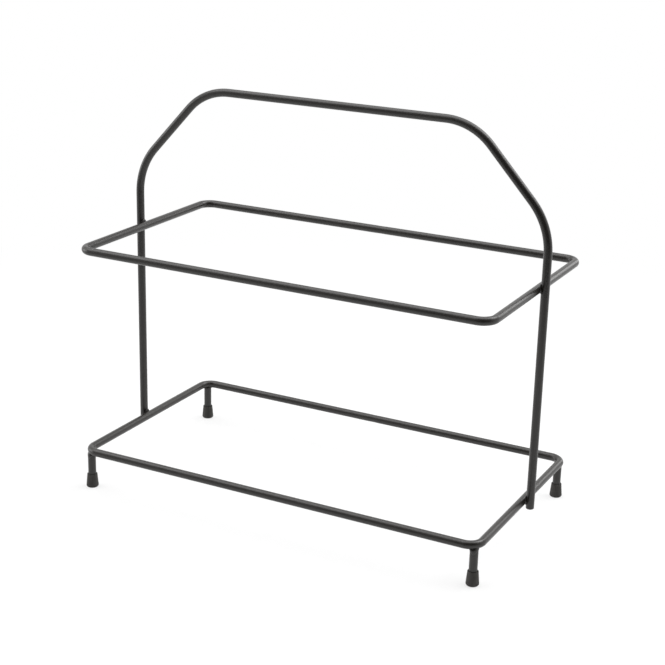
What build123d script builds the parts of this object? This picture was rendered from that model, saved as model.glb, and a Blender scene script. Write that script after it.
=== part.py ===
from build123d import *
import os

# A two-tier wire stand, in millimetres. Two equal rod rings lie one above the other on
# one bent rod arch, whose top is the handle. Four short posts in push-on caps lift the
# base ring off the table.
# +X runs along the long side of the rings, +Y to the rear and +Z up. The origin is on
# the table, under the middle of the stand.

# Rod that every metal piece is cut from: 6 mm stock and its powder coat
rod_diameter = 6.2
rod_end_rounding = 0.8

# Rings, measured between rod centrelines
ring_length = 330.0
ring_width = 176.0
ring_bend_radius = 10.0
base_ring_height = 31.0
ring_spacing = 162.5

# Arch, measured on the rod centreline, with both rises counted from the upper ring
shoulder_rise = 47.0
shoulder_bend_radius = 54.0
handle_rise = 113.0
handle_length = 220.0
handle_bend_radius = 48.0
leg_tail = 2.0

# Welds: how deep the rods are pressed into each other, and the metal squeezed out
arch_set_down = 0.4
post_set_down = 0.8
weld_flash = 0.9
weld_flash_thickness = 2.4
weld_rounding_share = 0.45

# Push-on foot caps, whose bore is stretched over the post
cap_height = 11.0
cap_sole = 3.0
cap_mouth_wall = 0.85
cap_foot_wall = 1.85
cap_foot_rounding = 1.5
cap_lip_shares = {"rounding": 0.4, "lead_in": 0.4}

rod_radius = rod_diameter / 2
upper_ring_height = base_ring_height + ring_spacing
base_ring_underside = base_ring_height - rod_radius
sides = {"left": -1, "right": 1}
corners = {
    "front_left": (-1, -1),
    "front_right": (1, -1),
    "rear_left": (-1, 1),
    "rear_right": (1, 1),
}


def bent_rod(points, radii, closed=False):
    # Round rod along straight runs joined by tangent bends
    path = FilletPolyline(*points, radius=radii, close=closed)
    section = Plane(origin=path @ 0, z_dir=path % 0) * Circle(rod_radius)
    return sweep(section, path=path)


def rod_ring(height):
    # Rod bent to a rectangle, its two ends butt-welded and ground flush
    half_length = ring_length / 2
    half_width = ring_width / 2
    points = [
        (-half_length, -half_width, height),
        (half_length, -half_width, height),
        (half_length, half_width, height),
        (-half_length, half_width, height),
    ]
    return bent_rod(points, ring_bend_radius, closed=True)


def leg_x():
    # Each leg stands outside the middle of a short side, pressed into the ring's rod
    return ring_length / 2 + rod_diameter - arch_set_down


def arch_rod():
    # One rod: leg, shoulder bend, slope, handle bend, and the same again mirrored
    leg_end = base_ring_underside - leg_tail
    shoulder_height = upper_ring_height + shoulder_rise
    handle_height = upper_ring_height + handle_rise
    right_half = [
        (handle_length / 2, 0, handle_height),
        (leg_x(), 0, shoulder_height),
        (leg_x(), 0, leg_end),
    ]
    left_half = [(-x, y, z) for x, y, z in reversed(right_half)]
    radii = [shoulder_bend_radius, handle_bend_radius, handle_bend_radius, shoulder_bend_radius]
    rod = bent_rod(left_half + right_half, radii)
    end_edges = rod.faces().filter_by(Plane.XY).edges()
    return fillet(end_edges, rod_end_rounding)


def weld_flash_disc(place):
    # Soft-edged disc of squeezed-out metal, before the two rods are taken out of it
    disc = Cylinder(rod_radius + weld_flash, weld_flash_thickness)
    rims = disc.edges().filter_by(GeomType.CIRCLE)
    return place * fillet(rims, weld_flash_thickness * weld_rounding_share)


def arch_weld(side, height, arch, ring):
    # Flash round the crossing of an upright leg and the short side of a ring
    contact_x = side * (ring_length / 2 + rod_radius - arch_set_down / 2)
    place = Plane(origin=(contact_x, 0, height), z_dir=(1, 0, 0))
    return weld_flash_disc(place) - ring - arch


def post_axis(corner):
    # Each post stands under the middle of a ring corner's bend
    side_x, side_y = corner
    inset = ring_bend_radius * (1 - 2**-0.5)
    x = side_x * (ring_length / 2 - inset)
    y = side_y * (ring_width / 2 - inset)
    return x, y


def foot_post(corner, ring):
    # Short rod from the bottom of the cap's bore, pressed into the underside of the ring
    top = base_ring_underside + post_set_down
    post = extrude(Plane(origin=(*post_axis(corner), cap_sole)) * Circle(rod_radius), top - cap_sole)
    return post - ring


def foot_weld(corner, post, ring):
    # Collar of flash where the post's end meets the ring
    place = Plane(origin=(*post_axis(corner), base_ring_underside))
    return weld_flash_disc(place) - ring - post


def foot_cap(corner):
    # Turned section: a flared skirt with a blind bore, a solid sole and a thin soft lip
    mouth_radius = rod_radius + cap_mouth_wall
    foot_radius = rod_radius + cap_foot_wall
    lip_rounding = cap_mouth_wall * cap_lip_shares["rounding"]
    lead_in = cap_mouth_wall * cap_lip_shares["lead_in"]
    section = {
        (0, 0): 0,
        (foot_radius, 0): cap_foot_rounding,
        (mouth_radius, cap_height): lip_rounding,
        (rod_radius + lead_in, cap_height): 0,
        (rod_radius, cap_height - lead_in): 0,
        (rod_radius, cap_sole): 0,
        (0, cap_sole): 0,
    }
    points = [(radius, 0, height) for radius, height in section]
    outline = FilletPolyline(*points, radius=list(section.values()), close=True)
    cap = revolve(make_face(outline), axis=Axis.Z)
    return Pos(*post_axis(corner), 0) * cap


base_ring = rod_ring(base_ring_height)
upper_ring = rod_ring(upper_ring_height)
arch = arch_rod() - base_ring - upper_ring

nodes = {
    "base_ring": base_ring,
    "upper_ring": upper_ring,
    "arch_handle": arch,
}
for side_name, side in sides.items():
    nodes[f"arch_weld_base_{side_name}"] = arch_weld(side, base_ring_height, arch, base_ring)
    nodes[f"arch_weld_upper_{side_name}"] = arch_weld(side, upper_ring_height, arch, upper_ring)
for corner_name, corner in corners.items():
    post = foot_post(corner, base_ring)
    nodes[f"foot_post_{corner_name}"] = post
    nodes[f"foot_weld_{corner_name}"] = foot_weld(corner, post, base_ring)
    nodes[f"foot_cap_{corner_name}"] = foot_cap(corner)

os.makedirs("parts", exist_ok=True)
for name, solid in nodes.items():
    export_step(solid, f"parts/{name}.step")
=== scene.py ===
import math

import bmesh
import bpy
from mathutils import Matrix, Vector, noise


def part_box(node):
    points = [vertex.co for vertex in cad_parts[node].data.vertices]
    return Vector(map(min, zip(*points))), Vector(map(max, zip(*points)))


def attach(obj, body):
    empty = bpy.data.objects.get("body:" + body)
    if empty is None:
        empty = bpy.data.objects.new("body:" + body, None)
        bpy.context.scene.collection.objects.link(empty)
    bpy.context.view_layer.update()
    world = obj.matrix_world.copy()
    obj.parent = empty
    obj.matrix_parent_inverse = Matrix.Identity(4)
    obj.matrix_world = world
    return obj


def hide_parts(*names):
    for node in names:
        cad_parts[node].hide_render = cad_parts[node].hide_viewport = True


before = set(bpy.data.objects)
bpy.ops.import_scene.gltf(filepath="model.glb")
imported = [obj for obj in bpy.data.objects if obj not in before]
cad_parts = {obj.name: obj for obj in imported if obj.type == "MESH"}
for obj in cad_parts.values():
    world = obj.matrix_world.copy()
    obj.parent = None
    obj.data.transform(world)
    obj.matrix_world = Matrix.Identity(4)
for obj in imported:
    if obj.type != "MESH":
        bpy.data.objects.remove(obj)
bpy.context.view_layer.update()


# Rings: two equal rectangles of 6 mm mild steel rod, each bent round a small former and
# butt-welded closed in the middle of the rear side, where the weld is ground flush. The
# finished stand is powder-coated black in one piece: satin, with a fine orange peel.

mm = 0.001
base_low, base_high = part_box("base_ring")
rod_radius = (base_high.z - base_low.z) / 2
ring_bend_radius = 10 * mm
run_step = 8 * mm
bend_step = math.radians(3)
bend_squash = 0.15
rod_facets = 40
butt_weld_length = 9 * mm
butt_weld_step = 0.75 * mm
butt_weld_dressing = 0.08 * mm

coat_colour = (0.0130, 0.0115, 0.0100, 1)
coat_thin_colour = (0.0185, 0.0163, 0.0142, 1)
coat_peel_size = 1.3 * mm
coat_grain_size = 0.35 * mm
coat_patch_size = 45 * mm
coat_peel_detail = 2
coat_grain_detail = 3
coat_patch_detail = 4
coat_peel_height = 0.06 * mm
coat_grain_height = 0.02 * mm
coat_grain_share = 0.45
coat_thin_span = (0.38, 0.66)
coat_gloss_span = (0.3, 0.7)
coat_roughness = (0.25, 0.37)


def straight_run(start, end, step=run_step):
    """Points between the ends of a straight run, without the ends themselves."""
    pieces = max(1, round((end - start).length / step))
    return [(start.lerp(end, k / pieces), 0.0) for k in range(1, pieces)]


def bend(before, corner, after, radius):
    """Points round one bend, each with how much the bend has narrowed the rod there."""
    into = (corner - before).normalized()
    out = (after - corner).normalized()
    turn = into.angle(out)
    start = corner - into * radius * math.tan(turn / 2)
    pivot = start + (out - into * into.dot(out)).normalized() * radius
    axis = into.cross(out).normalized()
    pieces = math.ceil(turn / bend_step)
    points = []
    for k in range(pieces + 1):
        swing = Matrix.Rotation(turn * k / pieces, 3, axis)
        squash = bend_squash * rod_radius / radius * math.sin(math.pi * k / pieces)
        points.append((pivot + swing @ (start - pivot), squash))
    return points


def stitch(mesh, loops, closed):
    """Square faces from each loop of points to the next."""
    following = loops[1:] + loops[:1] if closed else loops[1:]
    for loop, next_loop in zip(loops, following):
        for k, corner in enumerate(loop):
            n = (k + 1) % len(loop)
            mesh.faces.new((corner, loop[n], next_loop[n], next_loop[k]))


def rod_loop(mesh, centre, along, across, radius, squash):
    """One loop of points round the rod, narrowed in the plane of its bends."""
    side = along.cross(across).normalized()
    loop = []
    for k in range(rod_facets):
        angle = 2 * math.pi * k / rod_facets
        arm = side * math.cos(angle) * (1 - squash) + across * math.sin(angle)
        loop.append(mesh.verts.new(centre + arm * radius))
    return loop


def put_in_scene(name, mesh, material, node):
    """Smooth-shades a finished surface and lets it stand for its CAD node."""
    bmesh.ops.recalc_face_normals(mesh, faces=mesh.faces)
    surface = bpy.data.meshes.new(name)
    mesh.to_mesh(surface)
    mesh.free()
    surface.shade_smooth()
    surface.materials.append(material)
    piece = bpy.data.objects.new(name, surface)
    bpy.context.scene.collection.objects.link(piece)
    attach(piece, "root")
    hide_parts(node)


def new_material(name):
    """A material under this name, with its nodes and the links between them."""
    material = bpy.data.materials.new(name)
    material.use_nodes = True
    return material, material.node_tree.nodes, material.node_tree.links


def noise_node(nodes, links, place, size, detail, name):
    """A cloud pattern whose patches are about as wide as size, in metres."""
    cloud = nodes.new("ShaderNodeTexNoise")
    cloud.name = cloud.label = name
    cloud.inputs["Scale"].default_value = 1 / size
    cloud.inputs["Detail"].default_value = detail
    links.new(place.outputs["Object"], cloud.inputs["Vector"])
    return cloud


def colour_node(nodes, links, value, span, colours):
    """Fades from the first colour to the second as a value rises through a span."""
    tone = nodes.new("ShaderNodeValToRGB")
    for stop, position, colour in zip(tone.color_ramp.elements, span, colours):
        stop.position = position
        stop.color = colour
    links.new(value, tone.inputs["Fac"])
    return tone


def range_node(nodes, links, value, span, levels):
    """Goes from the first level to the second as a value rises through a span."""
    change = nodes.new("ShaderNodeMapRange")
    change.inputs["From Min"].default_value = span[0]
    change.inputs["From Max"].default_value = span[1]
    change.inputs["To Min"].default_value = levels[0]
    change.inputs["To Max"].default_value = levels[1]
    links.new(value, change.inputs["Value"])
    return change


def relief_node(nodes, links, value, height):
    """A relief of this height, in metres, that follows a value."""
    relief = nodes.new("ShaderNodeBump")
    relief.inputs["Distance"].default_value = height
    links.new(value, relief.inputs["Height"])
    return relief


def powder_coat_material():
    """Satin black powder coat: fused grains, a soft orange peel and slightly uneven gloss."""
    material, nodes, links = new_material("satin_black_powder_coat")
    shader = nodes["Principled BSDF"]
    place = nodes.new("ShaderNodeTexCoord")
    peel = noise_node(nodes, links, place, coat_peel_size, coat_peel_detail, "orange_peel")
    grain = noise_node(nodes, links, place, coat_grain_size, coat_grain_detail, "fused_grains")
    patch = noise_node(nodes, links, place, coat_patch_size, coat_patch_detail, "coat_thickness")

    blend = nodes.new("ShaderNodeMix")
    blend.inputs["Factor"].default_value = coat_grain_share
    links.new(patch.outputs["Fac"], blend.inputs["A"])
    links.new(grain.outputs["Fac"], blend.inputs["B"])
    thickness = blend.outputs["Result"]

    tone = colour_node(nodes, links, thickness, coat_thin_span, (coat_colour, coat_thin_colour))
    links.new(tone.outputs["Color"], shader.inputs["Base Color"])
    gloss = range_node(nodes, links, thickness, coat_gloss_span, coat_roughness)
    links.new(gloss.outputs["Result"], shader.inputs["Roughness"])

    peel_relief = relief_node(nodes, links, peel.outputs["Fac"], coat_peel_height)
    grain_relief = relief_node(nodes, links, grain.outputs["Fac"], coat_grain_height)
    links.new(peel_relief.outputs["Normal"], grain_relief.inputs["Normal"])
    links.new(grain_relief.outputs["Normal"], shader.inputs["Normal"])
    return material


powder_coat = powder_coat_material()


def butt_weld_stations(start, end):
    """The rear side of a ring, its rod dressed down a little over the butt weld."""
    middle = (start + end) / 2
    reach = (end - start).normalized() * butt_weld_length / 2
    left = straight_run(start, middle - reach)
    right = straight_run(middle + reach, end)
    weld = straight_run(middle - reach, middle + reach, butt_weld_step)
    return left + [(middle - reach, 0.0)] + weld + [(middle + reach, 0.0)] + right


def dressed(centre, middle):
    """How far the grinder has taken the rod down at this point of the butt weld."""
    share = (centre - middle).length / (butt_weld_length / 2)
    if share >= 1:
        return 0.0
    return butt_weld_dressing * (1 - share * share) ** 2


for node in ("base_ring", "upper_ring"):
    low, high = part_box(node)
    half_length = high.x - rod_radius
    half_width = high.y - rod_radius
    height = (low.z + high.z) / 2
    corners = []
    for x, y in ((-1, -1), (1, -1), (1, 1), (-1, 1)):
        corners.append(Vector((x * half_length, y * half_width, height)))
    rear_middle = Vector((0, half_width, height))

    line = []
    for i, corner in enumerate(corners):
        following = corners[(i + 1) % len(corners)]
        after = corners[(i + 2) % len(corners)]
        line += bend(corners[i - 1], corner, following, ring_bend_radius)
        run_start = line[-1][0]
        run_end = bend(corner, following, after, ring_bend_radius)[0][0]
        on_rear_side = corner.y > 0 and following.y > 0
        if on_rear_side:
            line += butt_weld_stations(run_start, run_end)
        else:
            line += straight_run(run_start, run_end)

    mesh = bmesh.new()
    loops = []
    for i, (centre, squash) in enumerate(line):
        along = line[(i + 1) % len(line)][0] - line[i - 1][0]
        radius = rod_radius - dressed(centre, rear_middle)
        loops.append(rod_loop(mesh, centre, along, Vector((0, 0, 1)), radius, squash))
    stitch(mesh, loops, closed=True)
    put_in_scene(f"{node}_rod", mesh, powder_coat, node)


# Arch: one length of the same rod with four cold bends, two wide ones at the shoulders
# and two at the ends of the carrying bar. Its sheared leg ends are tumbled round, and
# stop just under the base ring.

shoulder_rise = 47 * mm
shoulder_bend_radius = 54 * mm
handle_length = 220 * mm
handle_bend_radius = 48 * mm
sheared_edge_radius = 0.8 * mm
sheared_edge_steps = 6


def sheared_end(end, inward):
    """Points and radii from the flat of a rod's end to where its edge rounding is over."""
    stations = []
    for k in range(sheared_edge_steps + 1):
        angle = math.pi / 2 * k / sheared_edge_steps
        depth = sheared_edge_radius * (1 - math.cos(angle))
        radius = rod_radius - sheared_edge_radius * (1 - math.sin(angle))
        stations.append((end + inward * depth, radius))
    return stations


def open_rod(line, across):
    """The surface of a rod with two sheared ends."""
    mesh = bmesh.new()
    first = (line[1][0] - line[0][0]).normalized()
    last = (line[-2][0] - line[-1][0]).normalized()
    loops = []
    for centre, radius in sheared_end(line[0][0], first):
        loops.append(rod_loop(mesh, centre, first, across, radius, 0.0))
    for before, (centre, squash), after in zip(line, line[1:], line[2:]):
        along = after[0] - before[0]
        loops.append(rod_loop(mesh, centre, along, across, rod_radius, squash))
    for centre, radius in reversed(sheared_end(line[-1][0], last)):
        loops.append(rod_loop(mesh, centre, -last, across, radius, 0.0))
    stitch(mesh, loops, closed=False)
    for loop, centre in ((loops[0], line[0][0]), (loops[-1], line[-1][0])):
        hub = mesh.verts.new(centre)
        for k, corner in enumerate(loop):
            mesh.faces.new((corner, loop[(k + 1) % rod_facets], hub))
    return mesh


arch_low, arch_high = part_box("arch_handle")
upper_low, upper_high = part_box("upper_ring")
leg_x = arch_high.x - rod_radius
handle_z = arch_high.z - rod_radius
shoulder_z = (upper_low.z + upper_high.z) / 2 + shoulder_rise

arch_corners = [
    Vector((-leg_x, 0, arch_low.z)),
    Vector((-leg_x, 0, shoulder_z)),
    Vector((-handle_length / 2, 0, handle_z)),
    Vector((handle_length / 2, 0, handle_z)),
    Vector((leg_x, 0, shoulder_z)),
    Vector((leg_x, 0, arch_low.z)),
]
arch_bend_radii = (
    shoulder_bend_radius,
    handle_bend_radius,
    handle_bend_radius,
    shoulder_bend_radius,
)

arch_line = [(arch_corners[0], 0.0)]
for i, radius in enumerate(arch_bend_radii, 1):
    arc = bend(arch_corners[i - 1], arch_corners[i], arch_corners[i + 1], radius)
    arch_line += straight_run(arch_line[-1][0], arc[0][0]) + arc
arch_line += straight_run(arch_line[-1][0], arch_corners[-1]) + [(arch_corners[-1], 0.0)]
arch = open_rod(arch_line, Vector((0, 1, 0)))
put_in_scene("arch_handle_rod", arch, powder_coat, "arch_handle")


# Arch welds: each leg is resistance-welded to the outside of the rings' short sides. The
# rods sink into each other a little and squeeze out a lumpy collar of metal, which fills
# the groove between them and is coated over with the rest.

weld_foot_along = 3.6 * mm
weld_foot_across = 2.6 * mm
weld_bulge = 0.5 * mm
weld_fullness = 1.3
weld_fan = math.radians(12)
weld_run_angle = math.radians(102)
weld_run_reach = 1.1 * mm
weld_run_sharpness = 4
weld_underside_lack = 0.8 * mm
weld_lump_radius = 3 * mm
weld_lump_size = 2.1 * mm
weld_lump_reach = 0.30 * mm
weld_ripple_size = 0.8 * mm
weld_ripple_height = 0.06 * mm
weld_sunk = 0.06 * mm
weld_root_radius = 1.0 * mm
weld_steps_round = 72
weld_steps_over = 12


def lump(place, size):
    """A smooth uneven value from about -1 to 1 that is the same at each place every time."""
    return noise.noise(place / size)


def weld_collar(edges):
    """A closed collar of squeezed-out metal.

    It runs from the edge points on one rod over the crown to those on the other rod, and
    back through the root between the rods."""
    mesh = bmesh.new()
    loops = []
    for ring_edge, crown, rod_edge, root in edges:
        loop = []
        for k in range(weld_steps_over + 1):
            t = k / weld_steps_over
            pull = 2 * weld_fullness * t * (1 - t)
            point = ring_edge * (1 - t) ** 2 + crown * pull + rod_edge * t * t
            point /= (1 - t) ** 2 + pull + t * t
            lift = weld_ripple_height * lump(point, weld_ripple_size) * math.sin(math.pi * t)
            loop.append(mesh.verts.new(point + (point - root).normalized() * lift))
        loop.append(mesh.verts.new(root))
        loops.append(loop)
    stitch(mesh, loops, closed=True)
    return mesh


def arch_weld_edges(side, height, ring_x):
    """Edge points of a collar where an upright leg crosses the short side of a ring.

    The collar reaches further along each rod than across it, furthest where more metal
    has run out near the top, and least on the underside."""
    middle = Vector((side * (ring_x + leg_x) / 2, 0, height))
    edges = []
    for k in range(weld_steps_round):
        angle = 2 * math.pi * k / weld_steps_round
        outward = Vector((0, math.cos(angle), math.sin(angle)))
        run = max(0.0, math.cos(angle - weld_run_angle)) ** weld_run_sharpness * weld_run_reach
        run -= max(0.0, -math.sin(angle)) * weld_underside_lack
        lump_place = middle + outward * weld_lump_radius
        spread = weld_lump_reach * lump(lump_place, weld_lump_size) + run
        along = weld_foot_along + spread
        fan = weld_fan * math.sin(2 * angle)
        y_ring = along * math.cos(angle - fan)
        z_ring = weld_foot_across * math.sin(angle - fan)
        x_ring = ring_x + math.sqrt(rod_radius**2 - z_ring**2) - weld_sunk
        y_leg = weld_foot_across * math.cos(angle + fan)
        z_leg = along * math.sin(angle + fan)
        x_leg = leg_x - math.sqrt(rod_radius**2 - y_leg**2) + weld_sunk
        ring_edge = Vector((side * x_ring, y_ring, height + z_ring))
        leg_edge = Vector((side * x_leg, y_leg, height + z_leg))
        crown = (ring_edge + leg_edge) / 2 + outward * (weld_bulge + spread)
        root = middle + outward * weld_root_radius
        edges.append((ring_edge, crown, leg_edge, root))
    return edges


for ring_name in ("base", "upper"):
    ring_low, ring_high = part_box(f"{ring_name}_ring")
    ring_height = (ring_low.z + ring_high.z) / 2
    for side_name, side in (("left", -1), ("right", 1)):
        node = f"arch_weld_{ring_name}_{side_name}"
        collar = weld_collar(arch_weld_edges(side, ring_height, ring_high.x - rod_radius))
        put_in_scene(f"{node}_bead", collar, powder_coat, node)


# Foot posts: four short cuts of the same rod, pressed up against the underside of the
# base ring in the middle of its corner bends. Their lower ends are inside the caps.

corner_signs = {
    "front_left": (-1, -1),
    "front_right": (1, -1),
    "rear_left": (-1, 1),
    "rear_right": (1, 1),
}
post_step = 4 * mm
base_height = (base_low.z + base_high.z) / 2
bend_pivot_x = base_high.x - rod_radius - ring_bend_radius
bend_pivot_y = base_high.y - rod_radius - ring_bend_radius


def post_axis(signs):
    """The point of the floor under a post, which is under the middle of a corner bend."""
    reach = ring_bend_radius * math.sqrt(0.5)
    return Vector((signs[0] * (bend_pivot_x + reach), signs[1] * (bend_pivot_y + reach), 0))


for corner_name, signs in corner_signs.items():
    node = f"foot_post_{corner_name}"
    post_low, post_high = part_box(node)
    bottom = post_axis(signs) + Vector((0, 0, post_low.z))
    top = post_axis(signs) + Vector((0, 0, post_high.z))
    post_line = [(bottom, 0.0)] + straight_run(bottom, top, post_step) + [(top, 0.0)]
    post = open_rod(post_line, Vector((0, 1, 0)))
    put_in_scene(f"{node}_rod", post, powder_coat, node)


# Foot welds: a thin collar of metal round the head of each post, against the underside of
# the bend. One bead, on the post's front or rear face, runs further down in a tongue.

foot_weld_along = 3.6 * mm
foot_weld_across = 2.5 * mm
foot_weld_drop = 0.5 * mm
foot_weld_bulge = 0.25 * mm
foot_weld_lump_reach = 0.15 * mm
tongue_turn = math.radians(30)
tongue_drop = 3.4 * mm
tongue_bulge = 1.0 * mm
tongue_sharpness = 3
tongue_rise = 0.1
foot_weld_root_rise = 0.5 * mm
bend_half_width = rod_radius * (1 - bend_squash * rod_radius / ring_bend_radius)


def foot_weld_edges(signs):
    """Edge points of a collar between a post's head and the bend above it.

    The collar follows the bend's curve, and its tongue is on the front face of a front
    post and on the rear face of a rear post."""
    pivot = Vector((signs[0] * bend_pivot_x, signs[1] * bend_pivot_y, 0))
    axis = post_axis(signs)
    outward = (axis - pivot).normalized()
    edges = []
    for k in range(weld_steps_round):
        angle = 2 * math.pi * k / weld_steps_round
        arm = Matrix.Rotation(angle, 3, "Z") @ outward
        spread = foot_weld_lump_reach * lump(axis + arm * weld_lump_radius, weld_lump_size)
        along = (foot_weld_along + spread) * math.sin(angle)
        across = foot_weld_across * math.cos(angle)
        drop = rod_radius * math.sqrt(1 - (across / bend_half_width) ** 2)
        turn = Matrix.Rotation(along / ring_bend_radius, 3, "Z")
        ring_edge = pivot + turn @ outward * (ring_bend_radius + across)
        ring_edge.z = base_height - drop + weld_sunk
        post_edge = axis + arm * (rod_radius - weld_sunk)
        tongue_swing = angle - tongue_turn * signs[0] * signs[1]
        tongue = max(0.0, math.cos(tongue_swing)) ** tongue_sharpness
        post_edge.z = base_low.z - foot_weld_drop - tongue_drop * tongue - spread
        bulge = foot_weld_bulge + tongue_bulge * tongue + spread
        crown = ring_edge.lerp(post_edge, 0.5 - tongue_rise * tongue) + arm * bulge
        root = axis + arm * weld_root_radius
        root.z = base_low.z + foot_weld_root_rise
        edges.append((ring_edge, crown, post_edge, root))
    return edges


for corner_name, signs in corner_signs.items():
    node = f"foot_weld_{corner_name}"
    collar = weld_collar(foot_weld_edges(signs))
    put_in_scene(f"{node}_bead", collar, powder_coat, node)


# Foot caps: moulded black rubber, a flared skirt over a solid sole. Each is pushed onto
# its post, whose rod stretches the bore, and leaves a thin groove round the mouth.

cap_foot_radius = 4.95 * mm
cap_mouth_radius = 3.95 * mm
cap_bore_radius = 3.07 * mm
cap_bore_floor = 3.0 * mm
cap_lip_width = 0.48 * mm
cap_lead_in = 0.34 * mm
cap_foot_rounding = 1.5 * mm
cap_lip_rounding = 0.3 * mm
cap_edge_rounding = 0.12 * mm
cap_recess_radius = 1.9 * mm
cap_recess_depth = 0.35 * mm
cap_facets = 72
cap_skirt_step = 1.2 * mm
cap_rounding_stride = 3

rubber_colour = (0.0237, 0.0216, 0.0194, 1)
rubber_bloom_colour = (0.0342, 0.0313, 0.0281, 1)
rubber_roughness = (0.62, 0.78)
rubber_grain_size = 0.25 * mm
rubber_grain_detail = 2
rubber_grain_height = 0.008 * mm
rubber_bloom_size = 4 * mm
rubber_bloom_detail = 3
rubber_bloom_span = (0.4, 0.68)
rubber_gloss_span = (0.3, 0.7)


def cap_rubber_material():
    """Matte moulded rubber with a fine spark-eroded mould grain and a faint bloom."""
    material, nodes, links = new_material("matte_black_cap_rubber")
    shader = nodes["Principled BSDF"]
    place = nodes.new("ShaderNodeTexCoord")
    cloud = noise_node(nodes, links, place, rubber_grain_size, rubber_grain_detail, "mould_grain")
    grain = cloud.outputs["Fac"]
    cloud = noise_node(nodes, links, place, rubber_bloom_size, rubber_bloom_detail, "surface_bloom")
    bloom = cloud.outputs["Fac"]

    colours = (rubber_colour, rubber_bloom_colour)
    tone = colour_node(nodes, links, bloom, rubber_bloom_span, colours)
    links.new(tone.outputs["Color"], shader.inputs["Base Color"])
    gloss = range_node(nodes, links, grain, rubber_gloss_span, rubber_roughness)
    links.new(gloss.outputs["Result"], shader.inputs["Roughness"])
    relief = relief_node(nodes, links, grain, rubber_grain_height)
    links.new(relief.outputs["Normal"], shader.inputs["Normal"])
    return material


cap_rubber = cap_rubber_material()


def cap_section(cap_height):
    """Half of the cap's section, from under the sole, over the lip and down the bore."""
    lip = cap_mouth_radius - cap_lip_width
    turning_points = [
        (0, cap_recess_depth, 0),
        (cap_recess_radius, cap_recess_depth, cap_edge_rounding),
        (cap_recess_radius + cap_recess_depth, 0, cap_edge_rounding),
        (cap_foot_radius, 0, cap_foot_rounding),
        (cap_mouth_radius, cap_height, cap_lip_rounding),
        (lip, cap_height, cap_edge_rounding),
        (cap_bore_radius, cap_height - cap_lead_in, cap_edge_rounding),
        (cap_bore_radius, cap_bore_floor, cap_edge_rounding),
        (0, cap_bore_floor, 0),
    ]
    points = [Vector((x, 0, z)) for x, z, rounding in turning_points]
    section = [points[0]]
    for i in range(1, len(points) - 1):
        rounded = bend(points[i - 1], points[i], points[i + 1], turning_points[i][2])
        skirt = straight_run(section[-1], rounded[0][0], cap_skirt_step)
        section += [point for point, squash in skirt]
        section += [point for point, squash in rounded[::cap_rounding_stride]]
    section.append(points[-1])
    return section


def turned_cap(axis, section):
    """Turns the section round the post's axis."""
    mesh = bmesh.new()
    loops = []
    for point in section[1:-1]:
        loop = []
        for k in range(cap_facets):
            turn = Matrix.Rotation(2 * math.pi * k / cap_facets, 3, "Z")
            loop.append(mesh.verts.new(axis + turn @ point))
        loops.append(loop)
    stitch(mesh, loops, closed=False)
    for loop, point in ((loops[0], section[0]), (loops[-1], section[-1])):
        hub = mesh.verts.new(axis + point)
        for k, corner in enumerate(loop):
            mesh.faces.new((corner, loop[(k + 1) % cap_facets], hub))
    return mesh


for corner_name, signs in corner_signs.items():
    node = f"foot_cap_{corner_name}"
    cap = turned_cap(post_axis(signs), cap_section(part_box(node)[1].z))
    put_in_scene(f"{node}_rubber", cap, cap_rubber, node)


# Studio table: a round white board that the stand is photographed on. It keeps the soft
# shadow of the rods, and fades to the white of the backdrop before its edge.

table_radius = 0.8
table_rim_points = 96
table_colour = (0.74, 0.74, 0.74, 1)
table_fade = (0.35, 0.78)
table_white_share = (0.7, 1.0)


def math_node(nodes, links, operation, first, second):
    """Works out one value of a node tree from two others."""
    calculation = nodes.new("ShaderNodeMath")
    calculation.operation = operation
    links.new(first, calculation.inputs[0])
    links.new(second, calculation.inputs[1])
    return calculation.outputs["Value"]


table_mesh = bmesh.new()
bmesh.ops.create_circle(
    table_mesh, cap_ends=True, segments=table_rim_points, radius=table_radius
)
table_surface = bpy.data.meshes.new("studio_table")
table_mesh.to_mesh(table_surface)
table_mesh.free()
table = bpy.data.objects.new("studio_table", table_surface)
bpy.context.scene.collection.objects.link(table)

table_paint, table_nodes, table_links = new_material("white_studio_table")
table_nodes.clear()
table_matte = table_nodes.new("ShaderNodeBsdfDiffuse")
table_matte.inputs["Color"].default_value = table_colour
table_white = table_nodes.new("ShaderNodeEmission")
table_place = table_nodes.new("ShaderNodeTexCoord")
table_distance = table_nodes.new("ShaderNodeVectorMath")
table_distance.operation = "LENGTH"
table_links.new(table_place.outputs["Object"], table_distance.inputs[0])
table_white_part = range_node(
    table_nodes, table_links, table_distance.outputs["Value"], table_fade, table_white_share
)
table_white_part.interpolation_type = "SMOOTHSTEP"

table_rays = table_nodes.new("ShaderNodeLightPath").outputs
table_seen = math_node(
    table_nodes, table_links, "MAXIMUM", table_rays["Is Camera Ray"], table_rays["Is Glossy Ray"]
)
table_seen = math_node(
    table_nodes, table_links, "MAXIMUM", table_seen, table_rays["Is Transmission Ray"]
)
table_share = math_node(
    table_nodes, table_links, "MULTIPLY", table_seen, table_white_part.outputs["Result"]
)
table_blend = table_nodes.new("ShaderNodeMixShader")
table_out = table_nodes.new("ShaderNodeOutputMaterial")
table_links.new(table_share, table_blend.inputs["Fac"])
table_links.new(table_matte.outputs["BSDF"], table_blend.inputs[1])
table_links.new(table_white.outputs["Emission"], table_blend.inputs[2])
table_links.new(table_blend.outputs["Shader"], table_out.inputs["Surface"])
table_surface.materials.append(table_paint)


# Studio light: four softboxes, a wide one overhead and square to the photographer, one high
# at the right rear, one low on the left and a small gridded one on the backdrop's side. The
# walls are white, but the room behind the photographer is nearly dark.

room_levels = (0.8, 0.08)
room_dark_side = (0.458, -0.865, 0.203)
room_dark_span = (0.35, 0.8)
room_backdrop_span = (0.0, 0.5)


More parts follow.
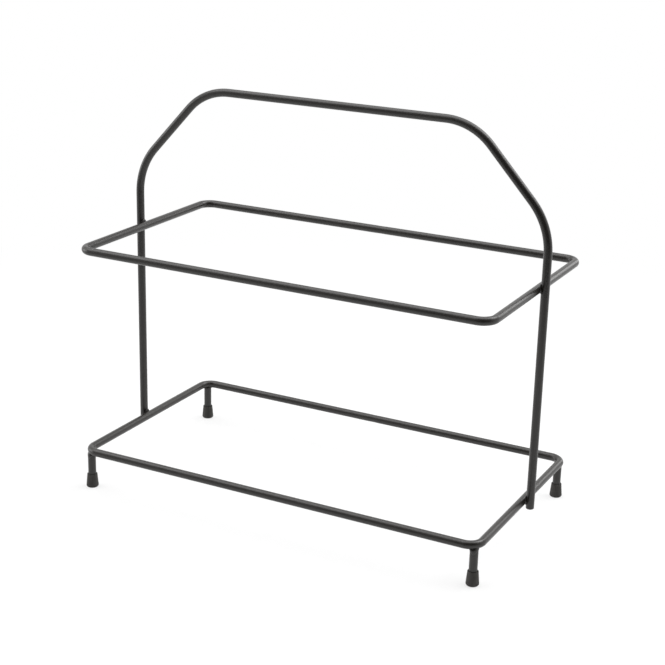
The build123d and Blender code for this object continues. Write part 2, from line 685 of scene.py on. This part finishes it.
def softbox(name, place, tilt, turn, size, power, beam=180):
    """A soft lamp that the camera doesn't see, with a grid over it if its beam is narrow.

    It faces straight down until it is tilted up and then turned about the vertical."""
    light = bpy.data.lights.new(name, "AREA")
    light.shape = "RECTANGLE"
    light.size = size[0]
    light.size_y = size[1]
    light.energy = power
    light.spread = math.radians(beam)
    lamp = bpy.data.objects.new(name, light)
    lamp.location = place
    lamp.rotation_euler = (math.radians(tilt), 0, math.radians(turn))
    lamp.visible_camera = False
    bpy.context.scene.collection.objects.link(lamp)


softbox(
    "overhead_softbox",
    place=(-0.115, 0.222, 1.7),
    tilt=0,
    turn=27,
    size=(4.2, 1.45),
    power=48.0,
)
softbox(
    "right_overhead_softbox",
    place=(0.85, 0.85, 1.5),
    tilt=42,
    turn=135,
    size=(1.1, 0.9),
    power=9.0,
)
softbox(
    "left_softbox",
    place=(-1.7, -0.45, 0.45),
    tilt=80,
    turn=-75,
    size=(0.9, 0.9),
    power=6.4,
)
softbox(
    "right_rear_softbox",
    place=(0.6, 1.5, 0.6),
    tilt=75,
    turn=171,
    size=(0.6, 0.6),
    power=0.3,
    beam=50,
)

room = bpy.data.worlds.new("studio_room")
bpy.context.scene.world = room
room.use_nodes = True
room_nodes = room.node_tree.nodes
room_links = room.node_tree.links
room_nodes.clear()
room_direction = room_nodes.new("ShaderNodeTexCoord")
room_side = room_nodes.new("ShaderNodeVectorMath")
room_side.operation = "DOT_PRODUCT"
room_side.inputs[1].default_value = room_dark_side
room_links.new(room_direction.outputs["Generated"], room_side.inputs[0])
room_level = range_node(
    room_nodes, room_links, room_side.outputs["Value"], room_dark_span, room_levels
)
room_level.interpolation_type = "SMOOTHSTEP"
room_axes = room_nodes.new("ShaderNodeSeparateXYZ")
room_links.new(room_direction.outputs["Generated"], room_axes.inputs["Vector"])
room_backdrop = range_node(
    room_nodes, room_links, room_axes.outputs["Y"], room_backdrop_span, (0, 1)
)
room_backdrop.interpolation_type = "SMOOTHSTEP"
room_light = room_nodes.new("ShaderNodeBackground")
room_white = room_nodes.new("ShaderNodeBackground")
room_white.inputs["Color"].default_value = (1, 1, 1, 1)
room_links.new(room_level.outputs["Result"], room_light.inputs["Color"])

room_rays = room_nodes.new("ShaderNodeLightPath").outputs
room_seen = math_node(
    room_nodes, room_links, "MAXIMUM", room_rays["Is Camera Ray"], room_rays["Is Transmission Ray"]
)
room_mirrored = math_node(
    room_nodes, room_links, "MULTIPLY", room_rays["Is Glossy Ray"], room_backdrop.outputs["Result"]
)
room_seen = math_node(room_nodes, room_links, "MAXIMUM", room_seen, room_mirrored)
room_blend = room_nodes.new("ShaderNodeMixShader")
room_out = room_nodes.new("ShaderNodeOutputWorld")
room_links.new(room_seen, room_blend.inputs["Fac"])
room_links.new(room_light.outputs["Background"], room_blend.inputs[1])
room_links.new(room_white.outputs["Background"], room_blend.inputs[2])
room_links.new(room_blend.outputs["Shader"], room_out.inputs["Surface"])

bpy.context.scene.view_settings.view_transform = "Standard"


# Camera: where the photographer stood, to the right of the stand's front and a little
# above it, with a long lens.

camera_place = Vector((0.50373, -0.96918, 0.50155))
camera_azimuth = math.radians(27.286)
camera_elevation = math.radians(18.677)
camera_roll = math.radians(1.409)
camera_lens = 81.81
camera_film_width = 36

camera_data = bpy.data.cameras.new("photographer")
camera_data.sensor_width = camera_film_width
camera_data.lens = camera_lens
camera = bpy.data.objects.new("photographer", camera_data)
turn = Matrix.Rotation(camera_azimuth, 4, "Z")
tip = Matrix.Rotation(math.pi / 2 - camera_elevation, 4, "X")
lean = Matrix.Rotation(camera_roll, 4, "Z")
camera.matrix_world = Matrix.Translation(camera_place) @ turn @ tip @ lean
bpy.context.scene.collection.objects.link(camera)
bpy.context.scene.camera = camera
